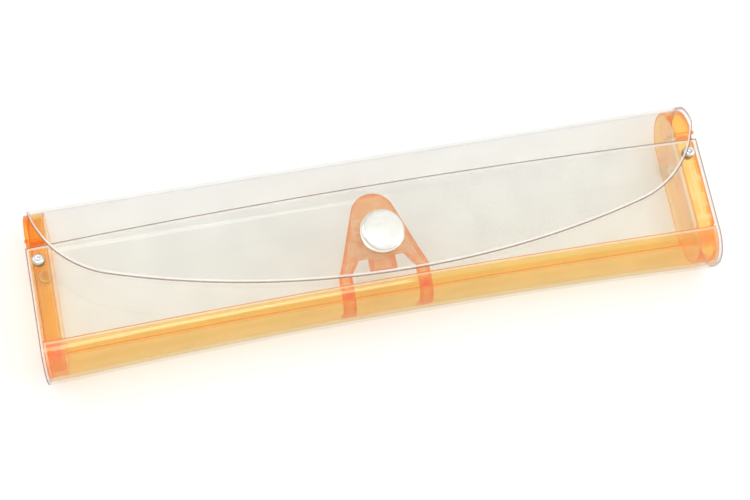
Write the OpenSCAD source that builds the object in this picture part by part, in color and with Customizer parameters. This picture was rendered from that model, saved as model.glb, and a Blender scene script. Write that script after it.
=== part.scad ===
// Slim clear eyeglasses case, lying on its back, closed.
// One clear sheet wraps the bottom, back and front and folds over the rounded top
// as a flap lid. Two moulded end caps, a bottom channel and a snap tongue sit inside.
// X runs along the case, +Y to the rounded top, +Z out through the front.
// The origin is in the middle of the back face.

/* [Case] */
// Length of the clear sheet, end to end
case_l = 152; // [140:1:170]
// Height from the bottom wall to the rounded top
case_h = 38.6; // [36:0.2:46]
// Thickness of the case over the front panel
case_d = 16; // [15.6:0.1:18]
// Outer radius of the fold between front panel and bottom
front_fold_r = 6.5; // [5:0.1:7]
// Outer radius of the fold between bottom and back
back_fold_r = 8; // [6:0.1:8.4]

/* [Clear sheet] */
// Thickness of the clear sheet
sheet_t = 0.6; // [0.4:0.05:0.8]
// Height of the front panel's top edge at the end caps
panel_h = 28.4; // [27:0.1:29]
// How much higher the panel's edge stands in the middle
panel_crown = 1.6; // [0:0.1:1.8]
// Running clearance between the lid and the end caps
lid_gap = 0.2; // [0.1:0.05:0.3]

/* [Flap] */
// Height of the flap's free edge above the bottom, in the middle
flap_low = 9; // [8:0.1:12]
// Radius of the long curve of the free edge
flap_sweep_r = 208; // [190:1:260]
// Radius of the flap's two rounded corners
flap_corner_r = 22.5; // [12:0.5:24]
// Half the width of the flap at its widest
flap_half_w = 75.8; // [73:0.1:76]
// Skew of the cut edge about the snap, in degrees
flap_skew = 1.7; // [0:0.1:2]
// Sideways set of the flap on the case
flap_shift = 0.1; // [0:0.1:1]
// Height by which the snap lifts the flap off the front panel
flap_lift = 2.1; // [1.8:0.1:2.6]
// Length over which the flap rises to that height
flap_rise_l = 6; // [4:0.5:8]

/* [End caps] */
// Depth of each end cap along the case
cap_depth = 4.1; // [3.8:0.1:6]
// Thickness of the cap's flat end plate
cap_plate_t = 0.8; // [0.6:0.1:1.2]
// Thickness of the flange round the plate
cap_flange_t = 1; // [0.8:0.1:1.2]
// Overhang of the clear sheet past the caps
sheet_overhang = 0.6; // [0.3:0.1:1]

/* [Channel and tongue] */
// Thickness of the bottom channel
channel_t = 0.8; // [0.6:0.1:1]
// Height of the channel's two lips
channel_h = 8; // [7:0.1:10]
// Thickness of the snap tongue
tongue_t = 0.8; // [0.6:0.1:1]
// Radius of the tongue's rounded top
tongue_top_r = 5; // [4.4:0.1:5.5]
// Half the width of the tongue at its legs
tongue_half_w = 10.1; // [9:0.1:12]
// Width of each leg
leg_w = 2.9; // [2:0.1:3.4]
// Sideways set of the tongue, towards the left
tongue_shift = 0.7; // [0:0.1:1]

/* [Snap] */
// Diameter of the domed snap cap
snap_d = 9.8; // [9:0.1:11]
// Height of the snap's centre above the bottom
snap_h = 18.3; // [17:0.1:20]

/* [Rivets] */
// Diameter of the rivet heads
rivet_head_d = 2.7; // [2.4:0.1:2.8]
// Diameter of the rivet shanks
rivet_shank_d = 1.4; // [1.2:0.1:1.6]
// Height of the rivets above the bottom
rivet_h = 25.6; // [24:0.1:26]

/* [Hidden] */
$fn = 64;

// Colours
clear_grey = [0.86, 0.87, 0.86, 0.35];
cap_orange = [0.95, 0.42, 0.05, 0.8];
band_orange = [0.95, 0.55, 0.15, 0.7];
tongue_orange = [0.93, 0.4, 0.12, 0.8];
nickel = "silver";
steel = "gainsboro";

// Places across the case
step_gap = 1.2;
y_bot = -case_h / 2;
lid_r = (case_d + lid_gap + sheet_t) / 2;
y_arc = case_h / 2 - lid_r;
z_arc = lid_r;
cap_r = lid_r - sheet_t - lid_gap;
y_lip = y_bot + channel_h;
y_step = y_bot + panel_h + step_gap;
snap_y = y_bot + snap_h;
rivet_y = y_bot + rivet_h;
z_inner = case_d - sheet_t;
far = 2 * case_l;
eps = 0.01;

// Places along the case
cap_end_x = case_l / 2 - sheet_overhang;
plate_x = cap_end_x - cap_depth;
rivet_inset = 0.15;
rivet_x = cap_end_x - (cap_depth - cap_plate_t) / 2 - rivet_inset;

// Flap section, from the top fold to the free edge
z_lid_out = 2 * lid_r;
flap_out = z_lid_out + flap_lift;
flap_in = flap_out - sheet_t;
rise_steps = 12;
function rise(s) = flap_lift * (1 - cos(180 * min(s / flap_rise_l, 1))) / 2;
function rise_line(z0) = [
    for (i = [0 : rise_steps])
        let (s = flap_rise_l * i / rise_steps) [y_arc - s, z0 + rise(s)]
];
function arc(x, y, r, from, to, steps) = [
    for (i = [0 : steps])
        let (a = from + (to - from) * i / steps) [x + r * cos(a), y + r * sin(a)]
];
function mirrored(list) = [for (p = list) [-p[0], p[1]]];
function reversed(list) = [for (i = [len(list) - 1 : -1 : 0]) list[i]];

// End cap nub
nub_r = 0.5;

// Panel edge: an arc through both ends and the crowned middle
crown_r = (pow(case_l / 2, 2) + pow(panel_crown, 2)) / (2 * panel_crown);

// Snap tongue
tongue_rise = 4.9;
tongue_top_y = snap_y + tongue_rise;
shoulder_y = y_lip + 2;
joggle_y = y_lip + 0.4;
joggle_l = 2;
window_drop = 4.7;
window_top_y = snap_y - window_drop;
window_half_w = tongue_half_w - leg_w;
window_lean = 2.2;
tab_w = 6;
tab_l = 3.6;
leg_end_z = 5;
snap_hole_r = 1.05;

// Snap, measured up from the panel
stud_flange_r = 4.4;
stud_flange_t = 0.4;
stud_neck_top = 0.75;
stud_chamfer = 0.3;
stud_head_r = 2.05;
stud_neck_r = 1.7;
stud_top = 1.6;
socket_r = 4.6;
socket_lip_t = 0.4;
socket_gap = 0.15;
socket_top_t = 0.3;
socket_cavity_r = 2.95;
socket_mouth_r = 2.4;
socket_z = case_d + stud_flange_t + socket_gap;
spring_wire_r = 0.25;
spring_r = 2.65;
post_r = 1.2;
post_bore_r = 0.8;
post_flare_r = 1.9;
post_flare_t = 0.25;
snap_r = snap_d / 2;
skirt_h = 0.6;
dome_h = 1.4;
dome_steps = 10;
snap_wall = 0.5;
cap_groove_r = snap_r - snap_wall;
cap_groove_h = 0.9;
eyelet_flange_r = 3.4;
eyelet_flange_t = 0.5;
eyelet_r = 0.95;
eyelet_bore_r = 0.6;
eyelet_lip_r = 1.4;
eyelet_lip_t = 0.2;

// Rivets and washers
rivet_head_t = 0.6;
rivet_dome_extra = 0.2;
rivet_bore_d = 0.8;
rivet_clench_d = 2.2;
rivet_clench_t = 0.3;
washer_d = 2.8;
washer_t = 0.3;
hole_play = 0.1;

// Extrudes a section drawn in the YZ plane along X, centred
module along_x(length) {
    rotate([90, 0, 90])
        linear_extrude(length, center = true)
            children();
}

// Section of the case below the rounded top, inset from the outer face
module case_section(inset) {
    fold_y = y_bot + back_fold_r;
    front_y = y_bot + front_fold_r;
    translate([fold_y, inset])
        square([y_arc - fold_y, case_d - 2 * inset]);
    translate([front_y, case_d / 2])
        square([fold_y - front_y + eps, case_d / 2 - inset]);
    translate([y_bot + inset, back_fold_r])
        square([back_fold_r, case_d - front_fold_r - back_fold_r]);
    translate([front_y, case_d - front_fold_r])
        circle(front_fold_r - inset);
    translate([fold_y, back_fold_r])
        circle(back_fold_r - inset);
    translate([front_y, back_fold_r])
        square([fold_y - front_y, case_d - front_fold_r - back_fold_r]);
}

// Part of the section with Y between two values
module between_y(low, high) {
    intersection() {
        children();
        translate([low, -case_d])
            square([high - low, 3 * case_d]);
    }
}

// Section of an end cap, inset from its own outer face
module cap_section(inset) {
    between_y(y_bot, y_lip + inset)
        case_section(sheet_t + channel_t + inset);
    between_y(y_lip + inset, y_arc)
        case_section(sheet_t + inset);
    translate([y_step + inset, case_d / 2])
        square([y_arc - y_step - inset, case_d / 2 - inset]);
    between_y(y_arc - eps, case_h)
        translate([y_arc, z_arc])
            circle(cap_r - inset);
}

// Region under the panel's crowned top edge, in the XY plane
module panel_region() {
    translate([0, y_bot + panel_h + panel_crown - crown_r])
        circle(crown_r, $fn = 256);
}

// Outline of the flap in the XY plane: a long sweep with a rounded corner at each side
module flap_outline() {
    sweep_y = flap_low + flap_sweep_r;
    corner_x = flap_half_w - flap_corner_r;
    corner_y = sweep_y - sqrt(pow(flap_sweep_r - flap_corner_r, 2) - pow(corner_x, 2));
    join_a = atan2(corner_y - sweep_y, corner_x);
    right = concat(
        arc(0, sweep_y, flap_sweep_r, -90, join_a, 40),
        arc(corner_x, corner_y, flap_corner_r, join_a, 0, 20),
        [[flap_half_w, case_l]]
    );
    translate([flap_shift, snap_y])
        rotate(-flap_skew)
            translate([0, -snap_h])
                polygon(concat(right, reversed(mirrored(right))));
}

// The snap's hole, through whatever lies in front of the case's middle
module snap_hole(r) {
    translate([0, snap_y, case_d / 2])
        cylinder(r = r, h = case_d);
}

// One straight hole for the front and the back rivet at one end
module rivet_holes(side) {
    translate([side * rivet_x, rivet_y, -case_d])
        cylinder(d = rivet_shank_d + hole_play, h = 3 * case_d);
}

// Back, bottom and front panel of the clear sheet
module body_sheet() {
    head_r = rivet_head_d / 2 + hole_play / 2;
    shank_r = (rivet_shank_d + hole_play) / 2;
    color(clear_grey)
        difference() {
            along_x(case_l)
                difference() {
                    case_section(0);
                    between_y(y_bot, y_arc - eps)
                        case_section(sheet_t);
                    translate([y_arc - eps, sheet_t])
                        square([2 * eps, case_d - 2 * sheet_t]);
                }
            translate([0, 0, case_d / 2])
                linear_extrude(case_d)
                    difference() {
                        square(far, center = true);
                        panel_region();
                    }
            snap_hole(snap_hole_r);
            for (side = [-1, 1]) {
                rivet_holes(side);
                translate([side * rivet_x, rivet_y, -eps])
                    cylinder(r1 = head_r, r2 = shank_r, h = sheet_t);
            }
        }
}

// Rounded top of the clear sheet, from the back fold to the front fold
module lid_top_sheet() {
    color(clear_grey)
        difference() {
            along_x(case_l)
                translate([y_arc, z_arc])
                    difference() {
                        circle(lid_r);
                        circle(lid_r - sheet_t);
                        translate([-case_l, -case_l / 2])
                            square(case_l);
                    }
            translate([0, 0, z_arc])
                linear_extrude(case_d)
                    difference() {
                        square(far, center = true);
                        flap_outline();
                    }
        }
}

// Front flap of the clear sheet, down to its curved free edge
module flap_sheet() {
    outer = concat(rise_line(z_lid_out), [[y_bot, flap_out]]);
    inner = concat(rise_line(z_lid_out - sheet_t), [[y_bot, flap_in]]);
    color(clear_grey)
        difference() {
            intersection() {
                along_x(far)
                    polygon(concat(outer, reversed(inner)));
                linear_extrude(2 * case_d)
                    flap_outline();
            }
            snap_hole(post_r + hole_play / 2);
        }
}

// Moulded end cap: an end plate with a flange that runs out to the case's end
module end_cap(side) {
    flange_x = plate_x + cap_plate_t;
    color(cap_orange)
        mirror([side < 0 ? 1 : 0, 0, 0])
            difference() {
                union() {
                    translate([plate_x + cap_plate_t / 2, 0, 0])
                        along_x(cap_plate_t)
                            cap_section(0);
                    translate([(flange_x + cap_end_x) / 2, 0, 0])
                        along_x(cap_end_x - flange_x)
                            difference() {
                                cap_section(0);
                                cap_section(cap_flange_t);
                            }
                    translate([cap_end_x, y_step + nub_r, case_d - nub_r])
                        sphere(nub_r);
                }
                rivet_holes(1);
            }
}

// Channel that lines the bottom of the case from cap to cap
module bottom_channel() {
    color(band_orange)
        along_x(2 * cap_end_x)
            between_y(y_bot, y_lip)
                difference() {
                    case_section(sheet_t);
                    case_section(sheet_t + channel_t);
                }
}

// Tongue outline seen from the front: two legs that lean in to a rounded head
module tongue_outline() {
    drop = tongue_top_y - shoulder_y;
    lean_a = acos(tongue_top_r / norm([tongue_half_w, drop])) - atan2(drop, tongue_half_w);
    right = concat(
        [[tongue_half_w, y_bot], [tongue_half_w, shoulder_y]],
        arc(0, tongue_top_y, tongue_top_r, lean_a, 90, 12)
    );
    difference() {
        polygon(concat(right, reversed(mirrored(right))));
        polygon([
            [-window_half_w, y_bot - 1], [window_half_w, y_bot - 1],
            [window_half_w, shoulder_y], [window_half_w - window_lean, window_top_y],
            [tab_w / 2, window_top_y], [tab_w / 2, window_top_y - tab_l],
            [-tab_w / 2, window_top_y - tab_l], [-tab_w / 2, window_top_y],
            [window_lean - window_half_w, window_top_y], [-window_half_w, shoulder_y]
        ]);
    }
}

// Tongue section: flat behind the panel, then in over the channel and round the fold
module tongue_section() {
    deep = sheet_t + channel_t;
    top_y = tongue_top_y + tongue_top_r;
    z_high = z_inner;
    z_low = case_d - deep;
    polygon([
        [top_y, z_high], [joggle_y + joggle_l, z_high], [joggle_y, z_low],
        [y_bot + back_fold_r, z_low], [y_bot + back_fold_r, z_low - tongue_t],
        [joggle_y + eps, z_low - tongue_t], [joggle_y + joggle_l, z_high - tongue_t],
        [top_y, z_high - tongue_t]
    ]);
    intersection() {
        difference() {
            case_section(deep);
            case_section(deep + tongue_t);
        }
        translate([y_bot, leg_end_z])
            square([back_fold_r + eps, case_d]);
    }
}

module snap_tongue() {
    color(tongue_orange)
        difference() {
            translate([-tongue_shift, 0, 0])
                intersection() {
                    along_x(2 * tongue_half_w)
                        tongue_section();
                    linear_extrude(case_d)
                        tongue_outline();
                }
            snap_hole(snap_hole_r);
        }
}

// Turns a section of radius and height about the snap's axis
module snap_turned(z) {
    translate([0, snap_y, z])
        rotate_extrude()
            children();
}

// Domed cap on the flap, with the hollow post that clenches the socket
module snap_cap() {
    dome = [
        for (i = [0 : dome_steps])
            let (a = 90 * i / dome_steps)
                [snap_r * cos(a), skirt_h + dome_h * sin(a)]
    ];
    post_end = -sheet_t - socket_top_t;
    color(nickel)
        snap_turned(flap_out)
            union() {
                difference() {
                    polygon(concat([[0, 0], [snap_r, 0]], dome));
                    translate([post_r, -eps])
                        square([cap_groove_r - post_r, cap_groove_h]);
                    square([post_bore_r, cap_groove_h]);
                }
                translate([post_bore_r, post_end - post_flare_t])
                    square([post_r - post_bore_r, -post_end + post_flare_t + cap_groove_h]);
                translate([post_bore_r, post_end - post_flare_t])
                    square([post_flare_r - post_bore_r, post_flare_t]);
            }
}

// Female half of the snap, under the flap
module snap_socket() {
    height = flap_in - socket_z;
    color(steel)
        snap_turned(socket_z)
            difference() {
                square([socket_r, height]);
                translate([0, -eps])
                    square([socket_mouth_r, height - socket_top_t + eps]);
                translate([0, socket_lip_t])
                    square([socket_cavity_r, height - socket_top_t - socket_lip_t]);
                square([post_r + hole_play / 2, height + eps]);
            }
}

// Wire ring inside the socket that grips the stud's neck
module socket_spring() {
    color(steel)
        snap_turned(socket_z + socket_lip_t + spring_wire_r)
            translate([spring_r, 0])
                circle(spring_wire_r);
}

// Male half of the snap, on the front panel
module snap_stud() {
    color(nickel)
        snap_turned(case_d)
            difference() {
                polygon([
                    [0, 0], [stud_flange_r, 0], [stud_flange_r, stud_flange_t],
                    [stud_neck_r, stud_flange_t], [stud_neck_r, stud_neck_top],
                    [stud_head_r, stud_neck_top + stud_chamfer], [stud_head_r, stud_top - stud_chamfer],
                    [stud_head_r - stud_chamfer, stud_top], [0, stud_top]
                ]);
                translate([0, -eps])
                    square([eyelet_r + hole_play / 2, far]);
                translate([0, stud_top - eyelet_lip_t])
                    square([eyelet_lip_r + hole_play / 2, far]);
            }
}

// Hollow rivet that holds the stud on the panel and the tongue
module stud_eyelet() {
    base_z = z_inner - tongue_t - eyelet_flange_t;
    total = case_d + stud_top - base_z;
    color(nickel)
        snap_turned(base_z)
            difference() {
                union() {
                    square([eyelet_flange_r, eyelet_flange_t]);
                    square([eyelet_r, total]);
                    translate([0, total - eyelet_lip_t])
                        square([eyelet_lip_r, eyelet_lip_t]);
                }
                translate([0, -eps])
                    square([eyelet_bore_r, far]);
            }
}

// Tubular rivet with a domed head, through the front panel and the cap's flange
module front_rivet(side) {
    head_r = rivet_head_d / 2;
    dome_r = head_r + rivet_dome_extra;
    tail_z = z_inner - cap_flange_t - washer_t - rivet_clench_t;
    color(nickel)
        translate([side * rivet_x, rivet_y, 0])
            difference() {
                union() {
                    translate([0, 0, case_d])
                        rotate_extrude()
                            intersection() {
                                square([head_r, rivet_head_t]);
                                translate([0, rivet_head_t - dome_r])
                                    circle(dome_r);
                            }
                    translate([0, 0, tail_z])
                        cylinder(d = rivet_shank_d, h = case_d - tail_z + eps);
                    translate([0, 0, tail_z])
                        cylinder(d = rivet_clench_d, h = rivet_clench_t);
                }
                translate([0, 0, tail_z - eps])
                    cylinder(d = rivet_bore_d, h = case_d);
            }
}

// Tubular rivet with a countersunk head, flush with the back
module back_rivet(side) {
    tail_z = sheet_t + cap_flange_t + washer_t;
    color(nickel)
        translate([side * rivet_x, rivet_y, 0])
            difference() {
                union() {
                    cylinder(d1 = rivet_head_d, d2 = rivet_shank_d, h = sheet_t);
                    cylinder(d = rivet_shank_d, h = tail_z + rivet_clench_t);
                    translate([0, 0, tail_z])
                        cylinder(d = rivet_clench_d, h = rivet_clench_t);
                }
                translate([0, 0, rivet_head_t / 2])
                    cylinder(d = rivet_bore_d, h = case_d);
            }
}

// Flat washer under a rivet's clenched tail
module washer(side, z) {
    color(steel)
        translate([side * rivet_x, rivet_y, z])
            difference() {
                cylinder(d = washer_d, h = washer_t);
                translate([0, 0, -eps])
                    cylinder(d = rivet_shank_d + hole_play, h = 2 * washer_t);
            }
}

module left_end_cap() { end_cap(-1); }
module right_end_cap() { end_cap(1); }
module front_left_rivet() { front_rivet(-1); }
module front_right_rivet() { front_rivet(1); }
module back_left_rivet() { back_rivet(-1); }
module back_right_rivet() { back_rivet(1); }
module front_left_washer() { washer(-1, z_inner - cap_flange_t - washer_t); }
module front_right_washer() { washer(1, z_inner - cap_flange_t - washer_t); }
module back_left_washer() { washer(-1, sheet_t + cap_flange_t); }
module back_right_washer() { washer(1, sheet_t + cap_flange_t); }

body_sheet();
lid_top_sheet();
flap_sheet();
left_end_cap();
right_end_cap();
bottom_channel();
snap_tongue();
snap_cap();
snap_socket();
socket_spring();
snap_stud();
stud_eyelet();
front_left_rivet();
front_right_rivet();
back_left_rivet();
back_right_rivet();
front_left_washer();
front_right_washer();
back_left_washer();
back_right_washer();
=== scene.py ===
import math

import bpy
from mathutils import Matrix, Vector


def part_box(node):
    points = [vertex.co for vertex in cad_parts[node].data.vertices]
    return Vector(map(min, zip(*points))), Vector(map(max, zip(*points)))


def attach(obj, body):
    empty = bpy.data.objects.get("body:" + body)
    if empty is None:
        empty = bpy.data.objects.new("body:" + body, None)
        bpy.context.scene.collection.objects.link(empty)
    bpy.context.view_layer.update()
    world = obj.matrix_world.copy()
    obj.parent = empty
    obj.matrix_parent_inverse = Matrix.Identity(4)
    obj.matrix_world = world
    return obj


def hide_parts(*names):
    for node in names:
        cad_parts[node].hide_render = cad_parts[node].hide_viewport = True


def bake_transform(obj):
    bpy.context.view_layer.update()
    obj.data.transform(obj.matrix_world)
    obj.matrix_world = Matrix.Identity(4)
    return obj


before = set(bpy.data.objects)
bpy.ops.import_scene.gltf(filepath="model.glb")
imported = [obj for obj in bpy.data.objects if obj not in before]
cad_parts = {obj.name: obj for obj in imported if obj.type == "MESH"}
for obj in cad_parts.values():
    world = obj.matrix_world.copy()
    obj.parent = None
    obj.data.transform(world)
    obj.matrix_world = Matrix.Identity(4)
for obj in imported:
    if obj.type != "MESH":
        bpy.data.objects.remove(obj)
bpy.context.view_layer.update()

MM = 0.001

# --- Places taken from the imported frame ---
case_lo, case_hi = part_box("body_sheet")
lid_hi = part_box("lid_top_sheet")[1]
cap_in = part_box("right_end_cap")[0].x
channel_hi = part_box("bottom_channel")[1]
snap_lo, snap_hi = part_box("snap_cap")

half_l = case_hi.x
bottom = case_lo.y
depth = case_hi.z
lid_r = lid_hi.z / 2
lid_z = lid_hi.z
arc_y = lid_hi.y - lid_r
flap_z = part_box("flap_sheet")[1].z
snap_y = (snap_lo.y + snap_hi.y) / 2
snap_h = snap_y - bottom
channel_end = channel_hi.x
lip_y = channel_hi.y

# --- Sizes of the sheet and the mouldings ---
SHEET = 0.6 * MM
CHANNEL = 0.8 * MM
TONGUE = 0.8 * MM
FRONT_R = 6.5 * MM
BACK_R = 8.0 * MM
PANEL_H = 28.4 * MM
PANEL_CROWN = 1.6 * MM
front_y = bottom + FRONT_R
back_y = bottom + BACK_R

# The long bottom wall is pulled in between the end caps
BOW = 1.7 * MM
BOW_REACH = 16 * MM
LIP_SETBACK = 0.3 * MM

# Flap outline, in its own skewed frame
FLAP_LOW = 9.0 * MM
FLAP_SWEEP = 208 * MM
FLAP_CORNER = 22.5 * MM
FLAP_HALF = 75.8 * MM
FLAP_SKEW = math.radians(-1.7)
FLAP_SHIFT = 0.1 * MM
FLAP_RISE = 6 * MM
FLAP_END_LIFT = 0.6 * MM
FLAP_LIFT_REACH = 73 * MM
# The free edge starts this far round from the middle of the rounded top
FLAP_EDGE_FROM = 3 * MM

# The lid's left side is cut back towards the flap, so it leaves the cap's rim bare
LID_CUT = 0.9 * MM

# Cut edges of sheets and mouldings: a rim strip at each edge, then a strip with a painted
# highlight; on the clear sheets the rim strip carries painted shade
RIM = 0.24 * MM
GLINT = 0.40 * MM
BEVEL = 0.09 * MM
CHANNEL_BEVEL = 0.10 * MM
TONGUE_BEVEL = 0.12 * MM

# How finely the sheets are divided
ACROSS_STEPS = 76
FLAP_ACROSS_STEPS = 110
FLAP_DOWN_STEPS = 60
FLAP_EDGE_STEPS = 720
FOLD_STEPS = 20
PANEL_STEPS = 14
BACK_STEPS = 10
HINGE_STEPS = 6
TOP_STEPS = 30
# The back wall has finer rows over this length below the hinge
HINGE_ZONE = 2 * MM


# --- Geometry helpers ---
def arc(cy, cz, r, start, end, steps):
    """Points (y, z) on an arc, with angles in degrees from +Y towards +Z."""
    angles = [math.radians(start + (end - start) * i / steps) for i in range(steps + 1)]
    return [(cy + r * math.cos(a), cz + r * math.sin(a)) for a in angles]


def line(a, b, steps):
    """Points from a up to, but not with, b."""
    return [tuple(p + (q - p) * i / steps for p, q in zip(a, b)) for i in range(steps)]


def ease(t):
    """Smooth rise from 0 to 1."""
    t = min(max(t, 0), 1)
    return (1 - math.cos(math.pi * t)) / 2


class Route:
    """A polyline of (y, z) points, walked by its length."""

    def __init__(self, points):
        self.points = points
        self.runs = [0.0]
        for a, b in zip(points, points[1:]):
            self.runs.append(self.runs[-1] + math.dist(a, b))

    def at(self, run):
        for k in range(1, len(self.runs)):
            if run <= self.runs[k] or k == len(self.runs) - 1:
                share = (run - self.runs[k - 1]) / (self.runs[k] - self.runs[k - 1])
                return [p + (q - p) * share for p, q in zip(self.points[k - 1], self.points[k])]


def bowed(x, y):
    """Y at this place once the bottom wall is pulled in."""
    height = (y - bottom) / BOW_REACH
    if height >= 1 or abs(x) >= cap_in:
        return y
    return y + BOW * (1 - (x / cap_in) ** 2) * math.cos(math.pi / 2 * max(height, 0)) ** 2


def lid_x(x, share):
    """X after the lid's cut. share goes from 0 at the hinge to 1 in the middle of the top."""
    return x + LID_CUT * ease(share) * (half_l - x) / (2 * half_l)


def finish_mesh(obj, smooth_angle=38):
    """Turns the modified mesh into the final one, smooth except at its corners."""
    bpy.context.view_layer.update()
    evaluated = obj.evaluated_get(bpy.context.evaluated_depsgraph_get())
    mesh = bpy.data.meshes.new_from_object(evaluated)
    obj.modifiers.clear()
    obj.data = mesh
    mesh.shade_smooth()
    mesh.set_sharp_from_angle(angle=math.radians(smooth_angle))
    return obj


def make_object(name, points, faces, materials, uvs=None, rims=(), glints=()):
    """A mesh object. Faces in rims get the second material, faces in glints the third."""
    mesh = bpy.data.meshes.new(name)
    mesh.from_pydata(points, [], faces)
    for material in materials:
        mesh.materials.append(material)
    for index in rims:
        mesh.polygons[index].material_index = 1
    for index in glints:
        mesh.polygons[index].material_index = 2
    if uvs:
        layer = mesh.uv_layers.new(name="run")
        for loop in mesh.loops:
            layer.data[loop.index].uv = uvs[loop.vertex_index]
    obj = bpy.data.objects.new(name, mesh)
    bpy.context.scene.collection.objects.link(obj)
    return obj


def thicken(obj, thickness, bevel=BEVEL):
    """Gives a surface its thickness, inwards, and breaks its cut edges."""
    shell = obj.modifiers.new("thickness", "SOLIDIFY")
    shell.thickness = thickness
    shell.offset = -1
    edge = obj.modifiers.new("edges", "BEVEL")
    edge.width = bevel
    edge.segments = 2
    edge.limit_method = "ANGLE"
    edge.angle_limit = math.radians(60)
    return finish_mesh(obj)


def sheet(name, columns, thickness, materials, bevel=BEVEL, seam=None):
    """A wrapped sheet from columns of (x, y, z) points on its outer side.
    seam is the end of the columns, 0 or -1, that runs on into another sheet, uncut."""
    rows = len(columns[0])
    points = [p for column in columns for p in column]
    uvs = []
    for column in columns:
        run = 0.0
        for j, p in enumerate(column):
            if j:
                run += (Vector(p) - Vector(column[j - 1])).length
            uvs.append((p[0], run))
    faces, rims, glints = [], [], []
    for i in range(len(columns) - 1):
        for j in range(rows - 1):
            a = i * rows + j
            steps = [i, len(columns) - 2 - i]
            steps += [] if seam == 0 else [j]
            steps += [] if seam == -1 else [rows - 2 - j]
            if min(steps) == 0:
                rims.append(len(faces))
            elif min(steps) == 1:
                glints.append(len(faces))
            faces.append((a, a + 1, a + rows + 1, a + rows))
    obj = make_object(name, points, faces, materials, uvs, rims, glints)
    return thicken(obj, thickness, bevel)


def spread(half, steps):
    """Places from -half to half, with a narrow rim strip and a strip for a painted highlight at
    both ends.
    """
    rim = half - RIM
    inner = rim - GLINT
    middle = [-inner + 2 * inner * i / steps for i in range(steps + 1)]
    return [-half, -rim] + middle + [rim, half]


def lathe(name, profile, centre, materials, segments=96, axis_turn=None):
    """A turned piece from a profile of (radius, height) points. Points at radius 0 close it."""
    points, faces, rings = [], [], []
    for r, z in profile:
        if r <= 0:
            rings.append([len(points)])
            points.append(Vector((0, 0, z)))
            continue
        rings.append(list(range(len(points), len(points) + segments)))
        for k in range(segments):
            a = 2 * math.pi * k / segments
            points.append(Vector((r * math.cos(a), r * math.sin(a), z)))
    closed = profile[0][0] > 0
    pairs = list(zip(rings, rings[1:])) + ([(rings[-1], rings[0])] if closed else [])
    for low, high in pairs:
        for k in range(segments):
            n = (k + 1) % segments
            if len(low) == 1:
                faces.append((low[0], high[k], high[n]))
            elif len(high) == 1:
                faces.append((low[k], high[0], low[n]))
            else:
                faces.append((low[k], high[k], high[n], low[n]))
    turn = axis_turn or Matrix.Identity(3)
    points = [centre + turn @ p for p in points]
    return make_object(name, points, faces, materials)


# --- Materials ---
# Shadow rays lose only part of the tint, as light also reaches the floor from within the case
SHADOW_RELIEF = 0.8
# How far the edges of a tinted band wander
BAND_WANDER = 0.12 * MM
# Gentle waves and fine handling marks of every see-through face
WAVE_SCALE = 34.0
MARK_SCALE = 900.0
MARK_HEIGHT = 0.012
RIPPLE = 0.25
RIPPLE_DEPTH = 0.0006
GLOSS_ROUGHNESS = 0.03
# How much of the tint comes and goes in clouds
MOTTLE = 0.04
# How sharply the tint turns to the grazing one
SLANT_POWER = 2.2
# Share that reflects: straight on, and how much more and how sharply at the edge
MIRROR_FACE = 0.03
MIRROR_EDGE = 0.5
MIRROR_POWER = 5.0
# The raised head of an end cap starts at this height
step_y = bottom + PANEL_H + 1.2 * MM
# An end beyond the whole case, for a band that doesn't stop
NO_END = 1.0
LIP_BAND = (-1.0 * MM, 1.6 * MM, 0.3 * MM, (0.99, 0.83, 0.44))
# Painted shade: a darker orange stripe along the channel's front fold
FOLD_SHADE_BAND = (1.6 * MM, 3.3 * MM, 0.5 * MM, (0.985, 0.75, 0.28))
LEG_BAND = (21.8 * MM, 24.0 * MM, 0.3 * MM, (0.95, 0.28, 0.06))
HEAD_BAND = (step_y, NO_END, 0.15 * MM, (0.985, 0.76, 0.26))
STEP_BAND = (step_y - 0.75 * MM, step_y - 0.1 * MM, 0.12 * MM, (0.95, 0.42, 0.10))
FOOT_BAND = (lip_y - 4.5 * MM, lip_y - 0.4 * MM, 0.15 * MM, (0.985, 0.66, 0.16))


class Graph:
    """The node graph of one material."""

    def __init__(self, name):
        self.material = bpy.data.materials.new(name)
        self.material.use_nodes = True
        self.tree = self.material.node_tree
        self.tree.nodes.clear()

    def add(self, kind, inputs=None, **settings):
        node = self.tree.nodes.new("ShaderNode" + kind)
        for key, value in settings.items():
            setattr(node, key, value)
        for key, value in (inputs or {}).items():
            if isinstance(value, bpy.types.NodeSocket):
                self.tree.links.new(value, node.inputs[key])
            else:
                node.inputs[key].default_value = value
        return node

    def math(self, operation, a, b):
        return self.add("Math", {0: a, 1: b}, operation=operation).outputs[0]

    def noise(self, place, scale, detail, low=0.0, high=1.0, stretch=(1, 1, 1)):
        mapped = self.add("Mapping", {"Vector": place, "Scale": stretch}).outputs[0]
        noise = self.add("TexNoise", {"Vector": mapped, "Scale": scale, "Detail": detail})
        return self.add(
            "MapRange", {"Value": noise.outputs["Fac"], "To Min": low, "To Max": high}
        ).outputs[0]

    def ramp(self, value, low, high):
        """0 below low, 1 above high, smooth between."""
        return self.add(
            "MapRange", {"Value": value, "From Min": low, "From Max": high},
            interpolation_type="SMOOTHSTEP",
        ).outputs[0]

    def blend(self, share, a, b, mode="MIX"):
        return self.add("MixRGB", {0: share, 1: a, 2: b}, blend_type=mode).outputs[0]

    def done(self, shader):
        self.add("OutputMaterial", {"Surface": shader})
        return self.material


def rgb(r, g, b):
    return (r, g, b, 1.0)


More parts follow.
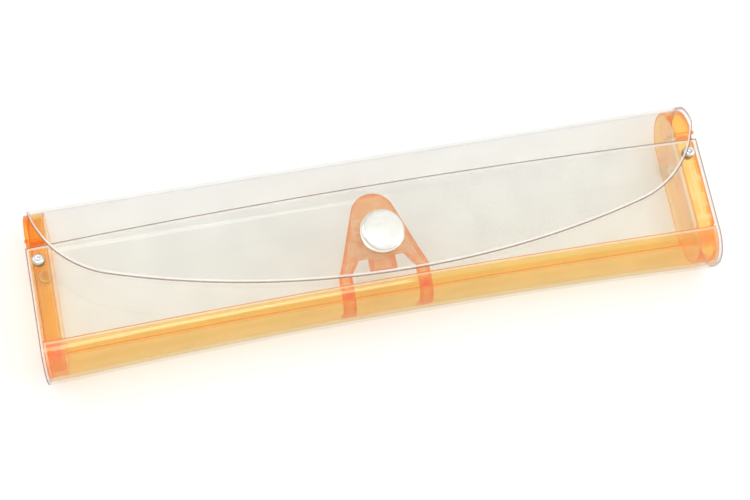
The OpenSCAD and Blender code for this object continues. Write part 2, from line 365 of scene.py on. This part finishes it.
def see_through(name, clear, grazing, body, haze, run=True, bands=()):
    """A see-through glossy sheet or moulding. clear and grazing are what one face lets pass,
    straight on and at a slant; body is the colour of the small share, haze, that scatters.
    Each band (from, to, edge, tint) is a stretch where a face lets its own tint pass: along
    the section for a sheet, in Y for a moulding without a run."""
    g = Graph(name)
    if run:
        place = g.add("UVMap", uv_map="run").outputs[0]
    else:
        place = g.add("TexCoord").outputs["Object"]
    waves = g.noise(place, WAVE_SCALE, 2.0)
    marks = g.noise(place, MARK_SCALE, 4.0, stretch=(0.25, 1, 1))
    height = g.math("ADD", waves, g.math("MULTIPLY", marks, MARK_HEIGHT))
    normal = g.add(
        "Bump", {"Strength": RIPPLE, "Distance": RIPPLE_DEPTH, "Height": height}
    ).outputs[0]
    facing = g.add("LayerWeight", {"Blend": 0.5, "Normal": normal}).outputs["Facing"]
    slant = g.math("POWER", facing, SLANT_POWER)
    tint = g.blend(slant, rgb(*clear), rgb(*grazing))
    cloud = g.noise(place, 120.0, 3.0, 1.0 - MOTTLE, 1.0)
    tint = g.blend(1.0, tint, cloud, "MULTIPLY")
    for start, end, edge, band_tint in bands:
        across = g.add("SeparateXYZ", {0: place}).outputs["Y"]
        across = g.math("ADD", across, g.noise(place, 90.0, 2.0, -BAND_WANDER, BAND_WANDER))
        rise = g.ramp(across, start, start + edge)
        fall = g.ramp(across, end, end + 2 * edge)
        tint = g.blend(g.math("SUBTRACT", rise, fall), tint, rgb(*band_tint))
    shadow = g.add("LightPath").outputs["Is Shadow Ray"]
    tint = g.blend(g.math("MULTIPLY", shadow, SHADOW_RELIEF), tint, rgb(1, 1, 1))
    passing = g.add("BsdfTransparent", {"Color": tint}).outputs[0]
    shine = g.add(
        "BsdfGlossy", {"Color": rgb(1, 1, 1), "Roughness": GLOSS_ROUGHNESS, "Normal": normal}
    ).outputs[0]
    lit = g.math("SUBTRACT", 1.0, shadow)
    edge_share = g.math("POWER", facing, MIRROR_POWER)
    mirror = g.add(
        "Math", {0: edge_share, 1: MIRROR_EDGE, 2: MIRROR_FACE}, operation="MULTIPLY_ADD"
    ).outputs[0]
    mirror = g.math("MULTIPLY", mirror, lit)
    skin = g.add("MixShader", {0: mirror, 1: passing, 2: shine}).outputs[0]
    tone = g.noise(place, 60.0, 4.0, 0.82, 1.08)
    paint = g.blend(1.0, rgb(*body), tone, "MULTIPLY")
    wear = g.noise(place, 500.0, 4.0, 0.25, 0.5)
    solid = g.add(
        "BsdfPrincipled",
        {"Base Color": paint, "Roughness": wear, "Normal": normal},
    ).outputs[0]
    share = g.math("MULTIPLY", g.noise(place, 240.0, 4.0, haze * 0.7, haze * 1.3), lit)
    return g.done(g.add("MixShader", {0: share, 1: skin, 2: solid}).outputs[0])


def metal(name, colour, rough, brush, scratch=0.08):
    """Plated metal with fine polishing marks and slightly duller patches."""
    g = Graph(name)
    place = g.add("TexCoord").outputs["Object"]
    patches = g.noise(place, 900.0, 3.0, 0.88, 1.04)
    tint = g.blend(1.0, rgb(*colour), patches, "MULTIPLY")
    dull = g.noise(place, 2600.0, 4.0, rough * 0.6, rough * 1.6)
    lines = g.noise(place, 5200.0, 2.0, stretch=(1, brush, 1))
    normal = g.add(
        "Bump", {"Strength": scratch, "Distance": 0.00003, "Height": lines}
    ).outputs[0]
    return g.done(
        g.add(
            "BsdfPrincipled",
            {"Base Color": tint, "Metallic": 1.0, "Roughness": dull, "Normal": normal},
        ).outputs[0]
    )


clear_sheet = see_through(
    "clear_vinyl", (0.992, 0.993, 0.985), (0.92, 0.92, 0.91), (0.90, 0.89, 0.86), 0.012
)
# Painted shade: a dark brown strip along each cut edge of the clear sheets and on the cut edge
# itself, standing in for the dark line the edge shows
clear_edge_shade = see_through(
    "clear_vinyl_painted_edge_shade", (0.70, 0.62, 0.57), (0.42, 0.33, 0.29), (0.42, 0.31, 0.26), 0.35
)
# Painted highlight: a pale, hazy strip just inside each cut edge of the clear sheets, standing in
# for the bright line along the edge
clear_painted_highlight = see_through(
    "clear_vinyl_painted_highlight", (0.985, 0.98, 0.975), (0.80, 0.77, 0.75), (0.99, 0.98, 0.97), 0.40
)
cap_plastic = see_through(
    "orange_cap", (0.997, 0.87, 0.47), (0.99, 0.62, 0.14), (1.0, 0.46, 0.04), 0.09,
    run=False, bands=(HEAD_BAND, STEP_BAND, FOOT_BAND),
)
cap_plate = see_through(
    "orange_cap_plate", (0.998, 0.955, 0.85), (0.995, 0.86, 0.62), (1.0, 0.80, 0.52), 0.30,
    run=False,
)
cap_rim = see_through(
    "orange_cap_rim", (0.990, 0.66, 0.24), (0.97, 0.34, 0.03), (0.98, 0.30, 0.02), 0.22,
    run=False,
)
band_plastic = see_through(
    "orange_channel", (0.999, 0.925, 0.71), (0.999, 0.88, 0.60), (1.0, 0.66, 0.24), 0.08,
    bands=(LIP_BAND, FOLD_SHADE_BAND),
)
band_rim = see_through(
    "orange_channel_rim", (0.985, 0.72, 0.34), (0.95, 0.42, 0.09), (0.95, 0.40, 0.07), 0.30
)
# Painted highlight: a pale strip just inside the channel's cut edges
band_painted_highlight = see_through(
    "orange_channel_painted_highlight", (0.995, 0.93, 0.78), (0.98, 0.74, 0.45), (1.0, 0.85, 0.66), 0.40
)
tongue_plastic = see_through(
    "orange_tongue", (0.995, 0.735, 0.48), (0.98, 0.55, 0.26), (1.0, 0.38, 0.12), 0.12,
    bands=(LEG_BAND,),
)
tongue_rim = see_through(
    "orange_tongue_rim", (0.985, 0.62, 0.32), (0.96, 0.36, 0.10), (0.98, 0.30, 0.07), 0.20
)
nickel = metal("polished_nickel", (0.93, 0.92, 0.84), 0.20, 1.0)
nickel_plain = metal("plain_nickel", (0.74, 0.73, 0.69), 0.22, 0.2)
rivet_nickel = metal("rivet_nickel", (0.80, 0.78, 0.74), 0.14, 1.0)
spring_steel = metal("spring_steel", (0.55, 0.55, 0.56), 0.26, 0.1, 0.2)
washer_steel = metal("washer_steel", (0.62, 0.61, 0.60), 0.30, 0.1, 0.2)


# --- Clear sheet: front panel, bottom, back and the back half of the rounded top ---
def panel_edge(x):
    return bottom + PANEL_H + PANEL_CROWN * (1 - (x / half_l) ** 2)


def shell_column(x):
    edge = panel_edge(x)
    section = [(edge, depth), (edge - RIM, depth)]
    section += line((edge - RIM - GLINT, depth), (front_y, depth), PANEL_STEPS)
    section += arc(front_y, depth - FRONT_R, FRONT_R, 90, 180, FOLD_STEPS)
    section += arc(back_y, BACK_R, BACK_R, 180, 270, FOLD_STEPS)
    section += line((back_y, 0), (arc_y - HINGE_ZONE, 0), BACK_STEPS)[1:]
    section += line((arc_y - HINGE_ZONE, 0), (arc_y, 0), HINGE_STEPS)
    column = [(x, bowed(x, y), z) for y, z in section]
    top = arc(arc_y, lid_r, lid_r, -90, 0, TOP_STEPS)
    return column + [(lid_x(x, z / lid_r), y, z) for y, z in top]


clear_shell = sheet(
    "clear_shell",
    [shell_column(x) for x in spread(half_l, ACROSS_STEPS)],
    SHEET,
    [clear_sheet, clear_edge_shade, clear_painted_highlight],
    seam=-1,
)
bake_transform(clear_shell)
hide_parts("body_sheet")


# --- Clear sheet: the front half of the rounded top and the flap ---
def flap_low(p):
    """Free edge's height above the bottom at p, in the flap's own frame."""
    centre = FLAP_LOW + FLAP_SWEEP
    corner_x = FLAP_HALF - FLAP_CORNER
    inner = FLAP_SWEEP - FLAP_CORNER
    if abs(p) <= corner_x * FLAP_SWEEP / inner:
        return centre - math.sqrt(FLAP_SWEEP**2 - p**2)
    corner_y = centre - math.sqrt(inner**2 - corner_x**2)
    return corner_y - math.sqrt(max(FLAP_CORNER**2 - (abs(p) - corner_x) ** 2, 0))


def flap_point(x, run):
    """Point on the flap's outer face, run along it from the middle of the rounded top."""
    quarter = lid_r * math.pi / 2
    if run <= quarter:
        a = run / lid_r
        return (x, arc_y + lid_r * math.cos(a), lid_r + lid_r * math.sin(a))
    y = arc_y - (run - quarter)
    share = math.cos(math.pi / 2 * min(abs(x) / FLAP_LIFT_REACH, 1)) ** 2
    lift = FLAP_END_LIFT + (flap_z - lid_z - FLAP_END_LIFT) * share
    return (x, y, lid_z + lift * ease((arc_y - y) / FLAP_RISE))


def flap_edge():
    """Points (x, run) along the free edge, from the right side to the left."""
    edge = []
    for i in range(FLAP_EDGE_STEPS + 1):
        p = FLAP_HALF * math.cos(math.pi * i / FLAP_EDGE_STEPS)
        high = flap_low(p) - snap_h
        x = FLAP_SHIFT + p * math.cos(FLAP_SKEW) - high * math.sin(FLAP_SKEW)
        y = snap_y + p * math.sin(FLAP_SKEW) + high * math.cos(FLAP_SKEW)
        if y >= arc_y:
            run = lid_r * math.acos(min((y - arc_y) / lid_r, 1))
        else:
            run = lid_r * math.pi / 2 + arc_y - y
        if run >= FLAP_EDGE_FROM:
            edge.append((min(x, half_l), run))
    return Route(edge)


def flap_columns():
    """Columns from the rounded top to even places along the free edge."""
    edge = flap_edge()
    columns = []
    for top_x in spread(half_l, FLAP_ACROSS_STEPS):
        low_x, end = edge.at(edge.runs[-1] * (half_l - top_x) / (2 * half_l))
        inner = end - RIM - GLINT
        runs = [inner * j / FLAP_DOWN_STEPS for j in range(FLAP_DOWN_STEPS + 1)]
        runs += [end - RIM, end]
        start_x = lid_x(top_x, 1)
        columns.append([flap_point(start_x + (low_x - start_x) * run / end, run) for run in runs])
    return columns


clear_flap = sheet(
    "clear_flap", flap_columns(), SHEET, [clear_sheet, clear_edge_shade, clear_painted_highlight], seam=0
)
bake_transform(clear_flap)
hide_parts("lid_top_sheet", "flap_sheet")


# --- Bottom channel ---
# Where the channel's back end leaves the back fold, in degrees round it
CHANNEL_BACK_END = 258


def channel_column(x):
    lip = lip_y - LIP_SETBACK
    section = [(lip, depth - SHEET), (lip - RIM, depth - SHEET)]
    section += line((lip - RIM - GLINT, depth - SHEET), (front_y, depth - SHEET), 2)
    section += arc(front_y, depth - FRONT_R, FRONT_R - SHEET, 90, 180, FOLD_STEPS)
    section += arc(back_y, BACK_R, BACK_R - SHEET, 180, CHANNEL_BACK_END, FOLD_STEPS)
    for y in (lip - RIM - GLINT, lip - RIM, lip):
        section.append((y, BACK_R - math.sqrt((BACK_R - SHEET) ** 2 - (back_y - y) ** 2)))
    return [(x, bowed(x, y), z) for y, z in section]


channel = sheet(
    "channel_moulding",
    [channel_column(x) for x in spread(channel_end, ACROSS_STEPS)],
    CHANNEL,
    [band_plastic, band_rim, band_painted_highlight],
    bevel=CHANNEL_BEVEL,
)
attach(channel, "case")
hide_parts("bottom_channel")

# --- Snap tongue ---
TONGUE_HEAD = 5.0 * MM
TONGUE_HALF = 10.1 * MM
TONGUE_LEG = 2.9 * MM
TONGUE_SHIFT = -0.7 * MM
TONGUE_LEAN = 2.2 * MM
TONGUE_TAB = 3.0 * MM
TONGUE_TAB_L = 3.6 * MM
TONGUE_RIM = 1.1 * MM
JOGGLE_L = 2 * MM
JOGGLE_STEPS = 8
HEAD_STEPS = 34
HEAD_RIM_STEPS = 8
LEG_STEPS = 40
TAB_STEPS = 6
head_y = snap_y + 4.9 * MM
shoulder_y = lip_y + 2 * MM
window_y = snap_y - 4.7 * MM


def tongue_route():
    """The tongue's outer face: flat, in over the channel's lip, then round the front fold."""
    high = depth - SHEET
    deep = SHEET + CHANNEL
    joggle = lip_y + 0.4 * MM
    points = [(head_y + TONGUE_HEAD, high)]
    for i in range(JOGGLE_STEPS + 1):
        share = i / JOGGLE_STEPS
        points.append((joggle + JOGGLE_L * (1 - share), high - CHANNEL * ease(share)))
    points += arc(front_y, depth - FRONT_R, FRONT_R - deep, 90, 180, 16)
    points += arc(back_y, BACK_R, BACK_R - deep, 180, 207, 5)
    return Route(points)


def tongue_half(y):
    """Half the tongue's width at this height: a round head with tangent sides down to the legs."""
    drop = head_y - shoulder_y
    lean = math.acos(TONGUE_HEAD / math.hypot(TONGUE_HALF, drop)) - math.atan2(drop, TONGUE_HALF)
    touch_x = TONGUE_HEAD * math.cos(lean)
    touch_y = head_y + TONGUE_HEAD * math.sin(lean)
    if y >= touch_y:
        return math.sqrt(max(TONGUE_HEAD**2 - (y - head_y) ** 2, 0))
    if y <= shoulder_y:
        return TONGUE_HALF
    return touch_x + (TONGUE_HALF - touch_x) * (touch_y - y) / (touch_y - shoulder_y)


def tongue_inner(y):
    """Half the width between the legs."""
    share = min(max((window_y - y) / (window_y - shoulder_y), 0), 1)
    return TONGUE_HALF - TONGUE_LEG - TONGUE_LEAN * (1 - share)


def build_tongue():
    route = tongue_route()
    total = route.runs[-1]
    window_run = head_y + TONGUE_HEAD - window_y
    points, uvs, faces, rims = [], [], [], []

    def row(run, places):
        y, z = route.at(run)
        first = len(points)
        for x in places:
            points.append((x + TONGUE_SHIFT, bowed(x + TONGUE_SHIFT, y), z))
            uvs.append((x, run))
        return list(range(first, len(points)))

    def strip(upper, lower, edge_row=False):
        for k in range(len(upper) - 1):
            if edge_row or k in (0, len(upper) - 2):
                rims.append(len(faces))
            faces.append((upper[k], lower[k], lower[k + 1], upper[k + 1]))

    def across(low, high, steps):
        rim = min(TONGUE_RIM, (high - low) / 4)
        inner = [low + rim + (high - low - 2 * rim) * k / steps for k in range(steps + 1)]
        return [low] + inner + [high]

    outer = tongue_half(window_y)
    inner = tongue_inner(window_y)
    left = across(-outer, -inner, 2)
    middle = [-inner + (inner - TONGUE_TAB) * k / 3 for k in range(1, 3)]
    tab = across(-TONGUE_TAB, TONGUE_TAB, 4)
    full = left + middle + tab + [-x for x in reversed(middle)] + [-x for x in reversed(left)]
    previous = None
    for j in range(1, HEAD_STEPS + 1):
        run = window_run * (1 - math.cos(math.pi / 2 * j / HEAD_STEPS))
        half = tongue_half(route.at(run)[0])
        current = row(run, [x * half / outer for x in full])
        if previous:
            strip(previous, current, edge_row=j < HEAD_RIM_STEPS)
        previous = current
    leg_n, tab_at = len(left), len(left) + len(middle)

    def leg(side, start):
        last = start
        for j in range(1, LEG_STEPS + 1):
            run = window_run + (total - window_run) * j / LEG_STEPS
            y = route.at(run)[0] if run < head_y + TONGUE_HEAD - shoulder_y else shoulder_y
            places = across(-tongue_half(y), -tongue_inner(y), 2)
            if side > 0:
                places = [-x for x in reversed(places)]
            current = row(run, places)
            strip(last, current, edge_row=j == LEG_STEPS)
            last = current

    leg(-1, previous[:leg_n])
    leg(1, previous[-leg_n:])
    last = previous[tab_at : tab_at + len(tab)]
    for j in range(1, TAB_STEPS + 1):
        current = row(window_run + TONGUE_TAB_L * j / TAB_STEPS, tab)
        strip(last, current, edge_row=j == TAB_STEPS)
        last = current
    obj = make_object("tongue_strap", points, faces, [tongue_plastic, tongue_rim], uvs, rims)
    return thicken(obj, TONGUE, TONGUE_BEVEL)


tongue = build_tongue()
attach(tongue, "case")
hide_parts("snap_tongue")

# --- End caps ---
CAP_PLATE = 0.8 * MM
CAP_FLANGE = 1.0 * MM
NUB = 0.5 * MM
# The left cap sits a little further out, almost flush with the sheet's end
LEFT_CAP_OUT = 0.35 * MM
LID_GAP = 0.2 * MM


def cap_outline():
    """Outer face of an end cap, all round: recessed over the channel, raised behind the lid."""
    over = SHEET
    under = SHEET + CHANNEL
    cap_r = lid_r - SHEET - LID_GAP
    points = line((back_y, over), (arc_y - 1.2 * MM, over), 8)
    points += arc(arc_y, lid_r, cap_r, -84, 90, 40)
    points += [(step_y, depth), (step_y, depth - over)]
    points += line((step_y - 0.5 * MM, depth - over), (back_y, depth - over), 8)
    points += [(back_y, depth - over), (back_y, depth - under)]
    points += arc(front_y, depth - FRONT_R, FRONT_R - under, 90, 180, 16)
    points += arc(back_y, BACK_R, BACK_R - under, 180, 270, 16)
    return points


def inset_loop(loop, distance):
    """The closed loop moved inwards by this distance, corner by corner."""
    out = []
    for k, point in enumerate(loop):
        before = Vector(loop[k - 1])
        here = Vector(point)
        after = Vector(loop[(k + 1) % len(loop)])
        a = (here - before).normalized()
        b = (after - here).normalized()
        normal_a = Vector((-a.y, a.x))
        normal_b = Vector((-b.y, b.x))
        middle = (normal_a + normal_b).normalized()
        out.append(here + middle * distance / max(middle.dot(normal_a), 0.5))
    return out


def end_cap(name, side, replaced):
    outline = cap_outline()
    end = channel_end + (LEFT_CAP_OUT if side < 0 else 0)
    plate = cap_in + CAP_PLATE
    # Places along the case, each with the outline's inset there as a share of the flange
    stations = [
        (cap_in, 0.60), (cap_in, 0.30), (cap_in + 0.09 * MM, 0.09), (cap_in + 0.30 * MM, 0.0),
        (cap_in + 1.2 * MM, 0.0), (end - 1.2 * MM, 0.0), (end - 0.30 * MM, 0.0),
        (end - 0.08 * MM, 0.08), (end, 0.28), (end, 0.72), (end - 0.08 * MM, 0.92),
        (end - 0.28 * MM, 1.0), (end - 1.2 * MM, 1.0), (plate + 0.45 * MM, 1.0),
        (plate + 0.14 * MM, 1.12), (plate, 1.45), (plate, 1.8),
    ]
    count = len(outline)
    points, faces, rims = [], [], []
    for x, inset in stations:
        for y, z in inset_loop(outline, inset * CAP_FLANGE):
            points.append((side * x, y, z))
    for s in range(len(stations) - 1):
        for k in range(count):
            n = (k + 1) % count
            quad = (s * count + k, s * count + n, (s + 1) * count + n, (s + 1) * count + k)
            if 5 <= s <= 10 or s <= 2:
                rims.append(len(faces))
            faces.append(quad if side > 0 else quad[::-1])
    inner = tuple(range(count))
    outer = tuple(range((len(stations) - 1) * count, len(stations) * count))
    plates = [len(faces), len(faces) + 1]
    faces.append(inner[::-1] if side > 0 else inner)
    faces.append(outer if side > 0 else outer[::-1])
    cap = make_object(name, points, faces, [cap_plastic, cap_rim, cap_plate], None, rims, plates)
    finish_mesh(cap, smooth_angle=30)
    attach(cap, "case")
    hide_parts(replaced)

    foot = [(0.0, 1.0), (0.42, 0.9), (0.74, 0.66), (0.93, 0.34), (0.98, 0.0), (0.98, -0.5)]
    foot = [(NUB * r, NUB * z) for r, z in foot + [(0.0, -0.5)]]
    turn = Matrix.Rotation(math.radians(90 * side), 3, "Y")
    seat = Vector((side * (half_l - NUB), step_y + NUB, depth - NUB - 0.05 * MM))
    nub = lathe(name + "_nub", foot, seat, [cap_rim], segments=32, axis_turn=turn)
    finish_mesh(nub, smooth_angle=50)
    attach(nub, "case")


end_cap("left_cap_moulding", -1, "left_end_cap")
end_cap("right_cap_moulding", 1, "right_end_cap")

# --- Snap cap ---
snap_centre = Vector((0, snap_y, flap_z))
SNAP_TOP = snap_hi.z - flap_z
DOME_R = 4.66 * MM
DOME_FOOT = 1.05 * MM
DOME_STEPS = 16
# Below 1, the dome is flatter on top and fuller at its side than a half ellipse
DOME_FULLNESS = 0.8
dome = []
for i in range(DOME_STEPS + 1):
    a = math.radians(90 - 90 * i / DOME_STEPS)
    r = DOME_R * math.cos(a) ** DOME_FULLNESS
    dome.append((r, DOME_FOOT + (SNAP_TOP - DOME_FOOT) * math.sin(a)))
dome[0] = (0.0, SNAP_TOP)
# Groove and base ring, hollow underside and post, in millimetres
skirt = [(4.60, 0.96), (4.48, 0.90), (4.32, 0.86), (4.32, 0.74), (4.60, 0.70), (4.80, 0.62)]
skirt += [(4.84, 0.50), (4.68, 0.44), (4.68, 0.36), (4.88, 0.30), (4.90, 0.12), (4.82, 0.0)]
skirt += [(4.45, 0.0), (4.38, 0.10), (4.38, 0.45), (1.25, 0.45), (1.20, 0.40), (1.20, -0.60)]
skirt += [(1.82, -0.65), (1.90, -0.72), (1.90, -0.83), (1.80, -0.90), (0.90, -0.90), (0.80, -0.80)]
skirt += [(0.80, 0.30), (0.0, 0.30)]
skirt = [(r * MM, z * MM) for r, z in skirt]
snap = lathe("snap_dome", dome + skirt, snap_centre, [nickel], segments=128)
finish_mesh(snap, smooth_angle=42)
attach(snap, "flap")
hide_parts("snap_cap")

# --- Front rivets: a dimpled head and a hollow, rolled tail, in millimetres ---
RIVET = [
    (0.0, 0.24), (0.30, 0.27), (0.43, 0.44), (0.55, 0.57), (0.72, 0.60), (0.95, 0.53),
    (1.16, 0.38), (1.30, 0.20), (1.35, 0.08), (1.33, 0.0), (0.70, 0.0), (0.70, -1.88),
    (1.00, -1.90), (1.10, -1.98), (1.10, -2.10), (0.98, -2.19), (0.60, -2.20),
    (0.44, -2.14), (0.40, -2.0), (0.40, -0.1), (0.0, -0.1),
]
for side, node in ((-1, "front_left_rivet"), (1, "front_right_rivet")):
    low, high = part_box(node)
    seat = Vector(((low.x + high.x) / 2, (low.y + high.y) / 2, depth))
    profile = [(r * MM, z * MM) for r, z in RIVET]
    rivet = lathe(node + "_tube", profile, seat, [rivet_nickel], segments=48)
    finish_mesh(rivet, smooth_angle=50)
    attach(rivet, "case")
    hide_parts(node)

# --- CAD nodes that keep their shape ---
KEPT = {
    "snap_socket": nickel_plain, "snap_stud": nickel_plain, "stud_eyelet": nickel_plain,
    "socket_spring": spring_steel,
    "back_left_rivet": rivet_nickel, "back_right_rivet": rivet_nickel,
    "front_left_washer": washer_steel, "front_right_washer": washer_steel,
    "back_left_washer": washer_steel, "back_right_washer": washer_steel,
}
for node, material in KEPT.items():
    for material_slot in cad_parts[node].material_slots:
        material_slot.link = "OBJECT"
        material_slot.material = material


# --- Floor, lights and camera ---
FLOOR_HALF = 3.0
FLOOR_Z = -0.2 * MM
LAMP_DISTANCE = 0.9
SKY_LOW = (0.60, 0.59, 0.58)
SKY_HIGH = (1.0, 1.0, 1.0)
# The sky's light is full from this height on, and grows towards the right by this slope
SKY_FULL_AT = 0.75
SKY_LEAN = 0.45
SKY_STRENGTH = 1.03


def floor():
    g = Graph("floor_paper")
    place = g.add("TexCoord").outputs["Object"]
    tone = g.noise(place, 6.0, 2.0, 0.985, 1.0)
    colour = g.blend(1.0, rgb(0.94, 0.94, 0.94), tone, "MULTIPLY")
    paper = g.done(g.add("BsdfPrincipled", {"Base Color": colour, "Roughness": 0.9}).outputs[0])
    turns = [(-1, -1), (1, -1), (1, 1), (-1, 1)]
    corners = [(FLOOR_HALF * x, FLOOR_HALF * y, FLOOR_Z) for x, y in turns]
    make_object("floor", corners, [(0, 1, 2, 3)], [paper])


def softbox(name, direction, size, power):
    data = bpy.data.lights.new(name, "AREA")
    data.shape = "RECTANGLE"
    data.size, data.size_y = size
    data.energy = power
    lamp = bpy.data.objects.new(name, data)
    bpy.context.scene.collection.objects.link(lamp)
    back = Vector(direction).normalized()
    along = (Vector((1, 0, 0)) - back * back.x).normalized()
    turn = Matrix((along, back.cross(along), back)).transposed().to_4x4()
    lamp.matrix_world = Matrix.Translation(back * LAMP_DISTANCE) @ turn


def studio_sky():
    """Even white light, a little darker towards the horizon and towards the left."""
    world = bpy.data.worlds.new("studio")
    bpy.context.scene.world = world
    world.use_nodes = True
    tree = world.node_tree
    tree.nodes.clear()
    coords = tree.nodes.new("ShaderNodeTexCoord")
    split = tree.nodes.new("ShaderNodeSeparateXYZ")
    ramp = tree.nodes.new("ShaderNodeValToRGB")
    back = tree.nodes.new("ShaderNodeBackground")
    out = tree.nodes.new("ShaderNodeOutputWorld")
    ramp.color_ramp.elements[0].position = 0.0
    ramp.color_ramp.elements[0].color = rgb(*SKY_LOW)
    ramp.color_ramp.elements[1].position = SKY_FULL_AT
    ramp.color_ramp.elements[1].color = rgb(*SKY_HIGH)
    tree.links.new(coords.outputs["Generated"], split.inputs[0])
    lean = tree.nodes.new("ShaderNodeMath")
    lean.operation = "MULTIPLY_ADD"
    lean.inputs[1].default_value = SKY_LEAN
    tree.links.new(split.outputs["X"], lean.inputs[0])
    tree.links.new(split.outputs["Z"], lean.inputs[2])
    tree.links.new(lean.outputs[0], ramp.inputs[0])
    tree.links.new(ramp.outputs[0], back.inputs["Color"])
    tree.links.new(back.outputs[0], out.inputs["Surface"])
    back.inputs["Strength"].default_value = SKY_STRENGTH


LENS = 73.5
SENSOR_WIDTH = 36
CLIP_START = 0.01
ELEVATION = math.radians(73.3)
AZIMUTH = math.radians(-30.9)
ROLL = math.radians(20.15)
DISTANCE = 343.4 * MM
TARGET = Vector((-0.7, -2.1, 8.0)) * MM


def camera():
    back = Vector((
        math.sin(AZIMUTH) * math.cos(ELEVATION),
        -math.cos(AZIMUTH) * math.cos(ELEVATION),
        math.sin(ELEVATION),
    ))
    level = Vector((math.cos(AZIMUTH), math.sin(AZIMUTH), 0))
    rise = back.cross(level)
    right = level * math.cos(ROLL) + rise * math.sin(ROLL)
    up = rise * math.cos(ROLL) - level * math.sin(ROLL)
    data = bpy.data.cameras.new("camera")
    data.lens = LENS
    data.sensor_width = SENSOR_WIDTH
    data.clip_start = CLIP_START
    view = bpy.data.objects.new("camera", data)
    bpy.context.scene.collection.objects.link(view)
    turn = Matrix((right, up, back)).transposed().to_4x4()
    view.matrix_world = Matrix.Translation(TARGET + back * DISTANCE) @ turn
    bpy.context.scene.camera = view


floor()
studio_sky()
softbox("overhead", (-0.12, -0.03, 0.95), (0.55, 0.24), 1.1)
softbox("right", (0.78, -0.28, 0.60), (0.6, 0.5), 1.5)
softbox("side", (-0.9, 0.35, 0.6), (0.5, 0.5), 0.8)
camera()
bpy.context.scene.view_settings.view_transform = "Standard"
bpy.context.scene.cycles.transparent_max_bounces = 32
